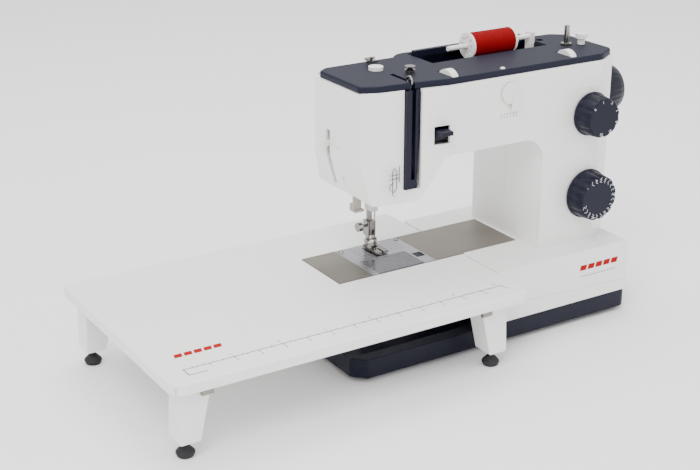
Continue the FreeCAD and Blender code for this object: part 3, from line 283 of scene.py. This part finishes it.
def lettering(name, entries, material, body):
    """Digits and signs, each (text, height, place matrix), joined in one flat mesh."""
    joined = bmesh.new()
    for text, height, place in entries:
        curve = bpy.data.curves.new("letters", "FONT")
        curve.body = text
        curve.size = height
        curve.align_x = "CENTER"
        curve.align_y = "CENTER"
        curve.extrude = 0.00003
        curve.resolution_u = 2
        shown = bpy.data.objects.new("letters", curve)
        mesh = bpy.data.meshes.new_from_object(shown)
        mesh.transform(place)
        joined.from_mesh(mesh)
        bpy.data.objects.remove(shown)
        bpy.data.meshes.remove(mesh)
    mesh = bpy.data.meshes.new(name)
    joined.to_mesh(mesh)
    joined.free()
    return piece(name, mesh, material, body)


def softened(node_name, width, material, body, segments=3):
    """Stands for a moulded CAD node: the same shape with its sharp edges rounded."""
    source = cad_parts[node_name]
    mesh = source.data.copy()
    mesh.name = node_name + "_moulded"
    work = bmesh.new()
    work.from_mesh(mesh)
    bmesh.ops.remove_doubles(work, verts=work.verts, dist=1e-6)
    bmesh.ops.dissolve_limit(work, angle_limit=math.radians(0.6), verts=work.verts,
                             edges=work.edges)
    work.to_mesh(mesh)
    work.free()
    thing = piece(node_name + "_moulded", mesh, material, body)
    bevel = thing.modifiers.new("edge", "BEVEL")
    bevel.width = width
    bevel.segments = segments
    bevel.limit_method = "ANGLE"
    bevel.angle_limit = math.radians(32)
    smooth(mesh)
    weighted = thing.modifiers.new("shading", "WEIGHTED_NORMAL")
    weighted.keep_sharp = True
    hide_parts(node_name)
    return thing


# ---------------------------------------------------------------- repeats by Geometry Nodes
def socket_of(tree, name):
    """The identifier of a tree's named input."""
    return [item.identifier for item in tree.interface.items_tree if item.name == name][0]


def repeat_tree(name):
    """Copies a small block along a line, with named sizes."""
    tree = bpy.data.node_groups.new(name, "GeometryNodeTree")
    for label, kind in (("Count", "NodeSocketInt"), ("Span", "NodeSocketFloat"),
                        ("Size", "NodeSocketVector"), ("Finish", "NodeSocketMaterial")):
        tree.interface.new_socket(label, in_out="INPUT", socket_type=kind)
    tree.interface.new_socket("Geometry", in_out="OUTPUT", socket_type="NodeSocketGeometry")
    given = add(tree, "NodeGroupInput")
    ends = add(tree, "ShaderNodeCombineXYZ", [("X", given.outputs["Span"])])
    path = add(tree, "GeometryNodeCurvePrimitiveLine", [("End", ends.outputs["Vector"])])
    spots = add(tree, "GeometryNodeCurveToPoints",
                [("Curve", path.outputs["Curve"]), ("Count", given.outputs["Count"])], mode="COUNT")
    shape = add(tree, "GeometryNodeMeshCube", [("Size", given.outputs["Size"])])
    copies = add(tree, "GeometryNodeInstanceOnPoints",
                 [("Points", spots.outputs["Points"]), ("Instance", shape.outputs["Mesh"])])
    solid = add(tree, "GeometryNodeRealizeInstances", [("Geometry", copies.outputs["Instances"])])
    dressed = add(tree, "GeometryNodeSetMaterial",
                  [("Geometry", solid.outputs["Geometry"]), ("Material", given.outputs["Finish"])])
    add(tree, "NodeGroupOutput", [("Geometry", dressed.outputs["Geometry"])])
    return tree


LINE = repeat_tree("marks_along_a_line")


def repeated(name, tree, count, span, block, material, place, body):
    """Bakes one repeat tree to a plain mesh and puts it in its place."""
    holder = bpy.data.objects.new(name + "_source", bpy.data.meshes.new(name + "_source"))
    bpy.context.collection.objects.link(holder)
    maker = holder.modifiers.new("repeat", "NODES")
    maker.node_group = tree
    for label, value in (("Count", count), ("Span", span), ("Size", block), ("Finish", material)):
        maker[socket_of(tree, label)] = value
    holder.update_tag()
    bpy.context.view_layer.update()
    graph = bpy.context.evaluated_depsgraph_get()
    mesh = bpy.data.meshes.new_from_object(holder.evaluated_get(graph))
    mesh.name = name
    mesh.transform(place)
    holder.modifiers.remove(maker)
    bpy.data.objects.remove(holder)
    return piece(name, mesh, material, body)


FLAT = Matrix.Identity(4)
FACING_FRONT = Matrix.Rotation(math.pi / 2, 4, "X")


def at(x, y, z, turn=FLAT):
    """A place matrix, in metres."""
    return Matrix.Translation((x, y, z)) @ turn


# ---------------------------------------------------------------- moulded housings
softened("front_cover", 1.6 * MM, white_abs, "machine")
softened("rear_cover", 1.2 * MM, white_abs, "machine")
softened("face_cover", 1.6 * MM, white_abs, "machine")
softened("base_tray", 1.5 * MM, navy_abs, "machine")
for corner in ("front_left", "front_right", "back_left", "back_right"):
    softened("leg_" + corner, 1.5 * MM, white_abs, "leg_" + corner)

# ---------------------------------------------------------------- ruler on the table
table_low, table_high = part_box("extension_table")
top = table_high.z
# where the ruler starts, in from the table's front left corner
ruler_x = table_low.x + 22.9 * MM
ruler_y = table_low.y + 27.3 * MM
corner_drop = 12 * MM
corner_run = 18 * MM
ruler_long = 14 * INCH
ink = 0.06 * MM
printed("ruler_line", [[(ruler_x, ruler_y, top), (ruler_x + ruler_long, ruler_y, top)],
                       [(ruler_x, ruler_y, top), (ruler_x, ruler_y - corner_drop, top)],
                       [(ruler_x, ruler_y - corner_drop, top),
                        (ruler_x + corner_run, ruler_y - corner_drop, top)]],
        1.0 * MM, (0, 0, 1), grey_ink, "table")
repeated("ruler_inches", LINE, 15, ruler_long, (0.8 * MM, 4.5 * MM, ink), grey_ink,
         at(ruler_x, ruler_y - 2 * MM, top), "table")
repeated("ruler_half_inches", LINE, 29, ruler_long, (0.55 * MM, 2.4 * MM, ink), grey_ink,
         at(ruler_x, ruler_y - 1 * MM, top), "table")
repeated("ruler_centimetres", LINE, 36, 350 * MM, (0.5 * MM, 2.4 * MM, ink), grey_ink,
         at(ruler_x, ruler_y + 1.2 * MM, top), "table")
inch_digits = [(str(n), 5 * MM, at(ruler_x + n * INCH, ruler_y - 7.5 * MM, top))
               for n in range(1, 15)]
centimetre_digits = [(str(5 * n), 4 * MM, at(ruler_x + 50 * n * MM, ruler_y + 6 * MM, top))
                     for n in range(1, 8)]
lettering("ruler_digits", inch_digits + centimetre_digits, grey_ink, "table")

# ---------------------------------------------------------------- dials
FLUTES = 12
FLUTE_DEPTH = 0.05
DIAL_DEPTH = 22 * MM


def dial(node_name, body, marks, size_of_marks, ring_share):
    """A control dial: a skirt, a fluted grip and its marks printed in a ring."""
    low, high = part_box(node_name)
    radius = (high.x - low.x) / 2
    centre = ((high.x + low.x) / 2, low.y, (high.z + low.z) / 2)
    depth = DIAL_DEPTH

    def flutes(angle, row):
        return 1 - (FLUTE_DEPTH if 1 < row < 6 else 0) * (0.5 + 0.5 * math.cos(FLUTES * angle)) ** 3

    profile = [(0, 0), (radius * 0.80, 0), (radius - 3.6 * MM, 0.25 * MM),
               (radius - 2.6 * MM, 1.4 * MM), (radius - 1.6 * MM, depth * 0.5),
               (radius - 1.0 * MM, depth - 3 * MM), (radius, depth - 2.4 * MM),
               (radius, depth - 0.4 * MM), (radius - 0.5 * MM, depth), (0, depth)]
    name = node_name + "_grip"
    shell = piece(name, lathe_mesh(name, profile, "Y", centre, 144, flutes), navy_abs, body)
    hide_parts(node_name)
    for face in shell.data.polygons:
        face.use_smooth = len(face.vertices) == 4
    edge = shell.modifiers.new("edge", "BEVEL")
    edge.width = 0.3 * MM
    edge.segments = 2
    edge.angle_limit = math.radians(40)
    around = []
    first, sweep = 140, 280
    for number, mark in enumerate(marks):
        angle = math.radians(first - number * sweep / len(marks))
        spin = Matrix.Rotation(angle - math.pi / 2, 4, "Z")
        reach = radius * ring_share
        spot = Vector((centre[0] + reach * math.cos(angle), centre[1] - 0.05 * MM,
                       centre[2] + reach * math.sin(angle)))
        around.append((mark, size_of_marks, Matrix.Translation(spot) @ FACING_FRONT @ spin))
    lettering(node_name + "_marks", around, white_ink, body)
    return centre, radius


length_spot, length_radius = dial("stitch_length_dial", "length_dial",
                                  ["0", "1", "2", "3", "4", "S1", "S2"], 4.4 * MM, 0.74)
pattern_spot, pattern_radius = dial("pattern_dial", "pattern_selector",
                                    [str(n) for n in range(1, 9)], 3.4 * MM, 0.80)


def stitch_signs():
    """Small zigzag stitch signs round the pattern dial."""
    strokes = []
    y = pattern_spot[1] - 0.02 * MM
    first, signs, apart = 120, 18, 16.5
    for number in range(signs):
        angle = math.radians(first - number * apart)
        out = Vector((math.cos(angle), 0, math.sin(angle)))
        over = Vector((-out.z, 0, out.x))
        steps = 2 + number % 4
        path = []
        for step in range(steps + 1):
            swing = (step % 2 - 0.5) * (1.8 + 0.4 * (number % 3)) * MM
            along = pattern_radius * (0.66 + 0.19 * step / steps)
            spot = Vector((pattern_spot[0], y, pattern_spot[2])) + out * along + over * swing
            path.append(tuple(spot))
        strokes.append(path)
    printed("stitch_signs", strokes, 0.42 * MM, (0, -1, 0), white_ink, "pattern_selector")


stitch_signs()

pillar_face = -48.0 * MM


def pointer(name, x, z):
    """A small raised arrow above a dial."""
    def build(work):
        front, back = pillar_face - 2.1 * MM, pillar_face - 0.6 * MM
        for y in (front, back):
            for dx, dz in ((-2.2, 3.6), (2.2, 3.6), (0, 0)):
                work.verts.new((x + dx * MM, y, z + dz * MM))
        work.verts.ensure_lookup_table()
        v = work.verts
        for corners in ((0, 1, 2), (5, 4, 3), (0, 3, 4, 1), (1, 4, 5, 2), (2, 5, 3, 0)):
            work.faces.new([v[i] for i in corners])
    piece(name, mesh_of(name, build), white_abs, "machine")


pointer("length_pointer", length_spot[0], length_spot[2] + length_radius + 2.5 * MM)
reverse_low, reverse_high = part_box("reverse_lever")
pointer("reverse_pointer", (reverse_low.x + reverse_high.x) / 2, reverse_high.z + 9 * MM)
pointer("pattern_pointer", pattern_spot[0], pattern_spot[2] + pattern_radius + 2.5 * MM)

# ---------------------------------------------------------------- handwheel
wheel_low, wheel_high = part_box("handwheel")
wheel_radius = (wheel_high.z - wheel_low.z) / 2
wheel_centre = (wheel_low.x, (wheel_low.y + wheel_high.y) / 2, (wheel_low.z + wheel_high.z) / 2)
wheel_span = wheel_high.x - wheel_low.x


FINGERS = 30


def grip(angle, row):
    """Shallow finger flutes round the handwheel's rim."""
    return 1 - (0.02 if 2 <= row <= 5 else 0) * (0.5 + 0.5 * math.cos(FINGERS * angle)) ** 2


recess = 5.5 * MM
wheel_profile = [(0, 0), (wheel_radius - 5 * MM, 0), (wheel_radius - 2.5 * MM, 1.5 * MM),
                 (wheel_radius - 0.2 * MM, wheel_span * 0.28), (wheel_radius, wheel_span * 0.40),
                 (wheel_radius - 2.5 * MM, wheel_span * 0.72),
                 (wheel_radius - 6.5 * MM, wheel_span * 0.95),
                 (wheel_radius - 9 * MM, wheel_span - 0.1 * MM), (17 * MM, wheel_span - 0.1 * MM),
                 (15.6 * MM, wheel_span - 1 * MM), (15 * MM, wheel_span - recess),
                 (0, wheel_span - recess)]
wheel_mesh = lathe_mesh("handwheel_rim", wheel_profile, "X", wheel_centre, 240, grip)
wheel = piece("handwheel_rim", wheel_mesh, navy_abs, "drive")
smooth(wheel.data)
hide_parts("handwheel")

# ---------------------------------------------------------------- prints on the head
def threading_diagram():
    """The threading path printed low on the face cover."""
    low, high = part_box("face_cover")
    x0, z0 = high.x - 14 * MM, low.z + 12 * MM
    y = -38.6 * MM
    loops = [[(0, 0), (0, 24), (2.5, 27), (5, 24), (5, 6)],
             [(5, 6), (2, 2), (-3, 5), (-3, 10), (1, 12)],
             [(-4, 16), (8, 16)], [(-3, 20), (7, 20)], [(8, 28), (8, 12)], [(0, 0), (3, -3)]]
    return [[(x0 + a * MM, y, z0 + b * MM) for a, b in loop] for loop in loops]


printed("threading_diagram", threading_diagram(), 0.35 * MM, (0, -1, 0), grey_ink, "machine",
        thick=0.9 * MM)
lever_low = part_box("stitch_width_lever")[0]
repeated("width_scale", LINE, 6, 19 * MM, (0.6 * MM, 0.06 * MM, 1.6 * MM), dark_ink,
         at(lever_low.x + 1 * MM, pillar_face - 0.02 * MM, lever_low.z - 3.2 * MM), "machine")
lettering("width_digits", [(str(n), 2.6 * MM,
                            at(lever_low.x + (1 + 3.8 * n) * MM, pillar_face - 0.05 * MM,
                               lever_low.z - 6.2 * MM, FACING_FRONT)) for n in range(6)],
          dark_ink, "machine")

# ---------------------------------------------------------------- needle plate
plate_low, plate_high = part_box("needle_plate")
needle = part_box("needle")[0]
right = needle.x


def seam_reach(step):
    """How far a seam guide lies from the needle."""
    return (13 + 4.5 * step) * MM


seam_ink = []
for side, guides in ((1, 5), (-1, 3)):
    for step in range(guides):
        x = right + side * seam_reach(step)
        seam_ink.append([(x, needle.y - 12 * MM, plate_high.z), (x, needle.y + 14 * MM, plate_high.z)])
printed("seam_guides", seam_ink, 0.35 * MM, (0, 0, 1), dark_ink, "machine")
seam_digits = [(text, 3.2 * MM, at(right + seam_reach(n), needle.y + 17 * MM, plate_high.z))
               for n, text in enumerate(("10", "15", "20", "25", "30"))]
lettering("seam_digits", seam_digits, dark_ink, "machine")

# ---------------------------------------------------------------- feed dog teeth
feed_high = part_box("feed_dogs")[1]
for number, dx in enumerate((-9, 9)):
    repeated("feed_teeth_%d" % number, LINE, 15, 16 * MM, (0.5 * MM, 2.0 * MM, 0.35 * MM), steel,
             at(right + dx * MM, needle.y - 7 * MM, feed_high.z - 0.1 * MM,
                Matrix.Rotation(math.pi / 2, 4, "Z")), "feed")

# ---------------------------------------------------------------- bobbin thread
bobbin_low, bobbin_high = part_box("bobbin")
bobbin_centre = ((bobbin_low.x + bobbin_high.x) / 2, (bobbin_low.y + bobbin_high.y) / 2, bobbin_low.z)
coil = [(4.2 * MM, 1.3 * MM), (8.8 * MM, 1.3 * MM), (9.1 * MM, 4.5 * MM), (8.8 * MM, 7.9 * MM),
        (4.2 * MM, 7.9 * MM), (4.2 * MM, 1.3 * MM)]
piece("bobbin_thread", lathe_mesh("bobbin_thread", coil, "Z", bobbin_centre, 64), red_thread,
      "bobbin")

# ---------------------------------------------------------------- screws and small trim
def screw(name, spots, radius, up, material, body):
    """Pan-head screws with a cross recess, joined in one piece."""
    way = Vector(up)
    side = way.orthogonal().normalized()
    other = way.cross(side)
    steps = 24
    outline = [(1.0, 0.0), (0.98, 0.25), (0.8, 0.5), (0.45, 0.62)]
    angles = [2 * math.pi * n / steps for n in range(steps)]

    def circle_of(work, spot, rise, shares):
        """A ring of points at a height, each at its own share of the radius."""
        return [work.verts.new(Vector(spot) + way * rise * radius
                               + (side * math.cos(a) + other * math.sin(a)) * radius * share)
                for a, share in zip(angles, shares)]

    def build(work):
        # the cross recess is a sunken star in the crown
        star = [0.38 if n % 6 in (0, 5, 1) else 0.14 for n in range(steps)]
        for spot in spots:
            rings = [circle_of(work, spot, rise, [share] * steps) for share, rise in outline]
            rings.append(circle_of(work, spot, 0.28, star))
            for low, high in zip(rings, rings[1:]):
                for n in range(steps):
                    after = (n + 1) % steps
                    work.faces.new((low[n], low[after], high[after], high[n]))
            work.faces.new(rings[-1])
            work.faces.new(rings[0][::-1])
    return piece(name, mesh_of(name, build), material, body)


tray_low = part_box("base_tray")[0]
screw("tray_screws", [(x, y, tray_low.z) for x in (-0.03, 0.06, 0.15, 0.23) for y in (-0.06, 0.082)],
      3 * MM, (0, 0, -1), nickel, "machine")
rear_face = 72.2 * MM
rear_spots = ((-0.03, 0.27), (0.06, 0.27), (0.15, 0.225), (0.235, 0.27), (0.235, 0.1))
screw("rear_screws", [(x, rear_face, z) for x, z in rear_spots],
      3 * MM, (0, 1, 0), nickel, "machine")
cover_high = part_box("top_cover")[1]
screw("cover_screw", [(0.108, -0.041, cover_high.z - 0.2 * MM)], 2.6 * MM, (0, 0, 1), nylon,
      "machine")
screw("plate_screws", [(plate_high.x - 4 * MM, plate_high.y - 6 * MM, plate_high.z - 0.3 * MM),
                       (plate_low.x + 5 * MM, plate_high.y - 6 * MM, plate_high.z - 0.3 * MM)],
      2.8 * MM, (0, 0, 1), nickel, "machine")

# ---------------------------------------------------------------- needle area trim
def boxes(name, corners, material, body, edge=0.3 * MM):
    """Small rounded blocks, each given by two corners, joined in one piece."""
    def build(work):
        for low, high in corners:
            made = bmesh.ops.create_cube(work, size=1.0)
            for vert in made["verts"]:
                vert.co = Vector([a + (b - a) * (c + 0.5) for a, b, c in zip(low, high, vert.co)])
    thing = piece(name, mesh_of(name, build), material, body)
    rounding = thing.modifiers.new("edge", "BEVEL")
    rounding.width = edge
    rounding.segments = 2
    return thing


def wire(name, points, radius, material, body):
    """A bent wire through points."""
    curve = bpy.data.curves.new(name, "CURVE")
    curve.dimensions = "3D"
    curve.bevel_depth = radius
    curve.bevel_resolution = 3
    curve.use_fill_caps = True
    run = curve.splines.new("POLY")
    run.points.add(len(points) - 1)
    for point, spot in zip(run.points, points):
        point.co = (*spot, 1)
    shown = bpy.data.objects.new(name, curve)
    mesh = bpy.data.meshes.new_from_object(shown)
    mesh.name = name
    bpy.data.objects.remove(shown)
    return piece(name, mesh, material, body)


clamp_low, clamp_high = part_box("needle_clamp")
head_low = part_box("face_cover")[0].z
nx, ny = needle.x + 0.8 * MM, needle.y + 0.8 * MM
hoop = [(nx - 4.2 * MM * math.cos(a), ny - 4.4 * MM - 2.4 * MM * math.sin(a), clamp_low.z + 1.5 * MM)
        for a in [math.pi * n / 12 for n in range(13)]]
wire("needle_thread_guide", [(nx - 4.2 * MM, ny, clamp_low.z + 1.5 * MM)] + hoop
     + [(nx + 4.2 * MM, ny, clamp_low.z + 1.5 * MM)], 0.45 * MM, nickel, "needle_unit")
boxes("lamp_strip", [((nx - 25 * MM, ny - 79 * MM, head_low - 1.6 * MM),
                      (nx - 5 * MM, ny - 73 * MM, head_low + 0.5 * MM))],
      lacquer, "machine")
wire("head_thread_guide", [(nx + 15 * MM, ny - 15 * MM, head_low + 4 * MM),
                           (nx + 15 * MM, ny - 16 * MM, head_low - 4 * MM),
                           (nx + 5 * MM, ny - 16 * MM, head_low - 4 * MM),
                           (nx + 5 * MM, ny - 14 * MM, head_low - 2 * MM)],
     0.7 * MM, nickel, "machine")

knob_wide, knob_long = 4.4 * MM, 6.2 * MM
knob = [(0, 0), (3.9 * MM, 0), (knob_wide, 0.5 * MM), (knob_wide, 5.6 * MM), (3.8 * MM, knob_long),
        (0, knob_long)]
knob_spot = (clamp_high.x - 6.1 * MM, ny, clamp_high.z - 4.4 * MM)
piece("clamp_knob", lathe_mesh("clamp_knob", knob, "X", knob_spot, 32),
      lacquer, "needle_unit")

# ---------------------------------------------------------------- base crease
base_low, base_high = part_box("front_cover")
crease = [(base_low.x + 108 * MM, base_low.y, 45.8 * MM),
          (base_low.x + 180 * MM, base_low.y, 42.5 * MM), (base_high.x - 10 * MM, base_low.y, 39 * MM)]
# the crease is drawn as a thin darker strip, painted shade, with no groove in it
printed("base_crease", [crease], 0.5 * MM, (0, -1, 0), soft_shadow, "machine")

# ---------------------------------------------------------------- plain red marks
def slanted_bars(name, place, body, count, pitch, wide, tall):
    """A row of plain slanted bars."""
    lean = tall * 0.25

    def build(work):
        for number in range(count):
            x = number * pitch
            verts = [work.verts.new(place @ Vector((x + dx, dy, dz)))
                     for dz in (0, 0.08 * MM)
                     for dx, dy in ((0, 0), (wide, 0), (wide + lean, tall), (lean, tall))]
            for face in BLOCK_FACES:
                work.faces.new([verts[i] for i in face])
    return piece(name, mesh_of(name, build), red_ink, body)


mark_x = 196 * MM
slanted_bars("base_mark", at(mark_x, base_low.y, 62 * MM, FACING_FRONT), "machine", 5,
             11 * MM, 9 * MM, 6 * MM)
slanted_bars("table_mark", at(table_low.x + 26 * MM, table_low.y + 52 * MM, top), "table", 5,
             10 * MM, 8 * MM, 7 * MM)
repeated("base_small_print", LINE, 24, 48 * MM, (1.2 * MM, 0.06 * MM, 1.2 * MM), dark_ink,
         at(mark_x + 3 * MM, base_low.y, 55 * MM), "machine")

# ---------------------------------------------------------------- floor, light and camera
floor_mesh = bpy.data.meshes.new("floor")
far = 6.0
floor_mesh.from_pydata([(-far, -far, 0), (far, -far, 0), (far, far, 0), (-far, far, 0)], [],
                       [(0, 1, 2, 3)])
floor = bpy.data.objects.new("floor", floor_mesh)
bpy.context.collection.objects.link(floor)
floor_mesh.materials.append(finish_of("pale_floor", "#FAFAFA", "#F8F8F8", 40.0, 0.0, 0.8))

world = bpy.data.worlds.new("studio")
bpy.context.scene.world = world
world.use_nodes = True
sky = world.node_tree.nodes["Background"]
sky.inputs["Color"].default_value = (1, 1, 1, 1)
sky.inputs["Strength"].default_value = 1.25


def softbox(name, spot, aim, width, power):
    """A large soft area light."""
    lamp = bpy.data.lights.new(name, "AREA")
    lamp.shape = "DISK"
    lamp.size = width
    lamp.energy = power
    thing = bpy.data.objects.new(name, lamp)
    bpy.context.collection.objects.link(thing)
    thing.location = spot
    thing.rotation_euler = (Vector(aim) - Vector(spot)).to_track_quat("-Z", "Y").to_euler()


softbox("key", (-1.2, -1.0, 2.0), (0, 0, 0.15), 1.4, 46)
softbox("fill", (1.6, -1.6, 1.0), (0.1, 0, 0.15), 1.6, 12)
softbox("top", (0.2, 0.6, 2.2), (0, 0, 0.1), 1.6, 34)

lens = bpy.data.cameras.new("camera")
lens.lens = 70.73
lens.sensor_width = 36
camera = bpy.data.objects.new("camera", lens)
bpy.context.collection.objects.link(camera)
camera.location = (-0.7419, -1.1119, 0.6437)
camera.rotation_euler = (math.radians(68.56), 0, math.radians(-31.94))
bpy.context.scene.camera = camera
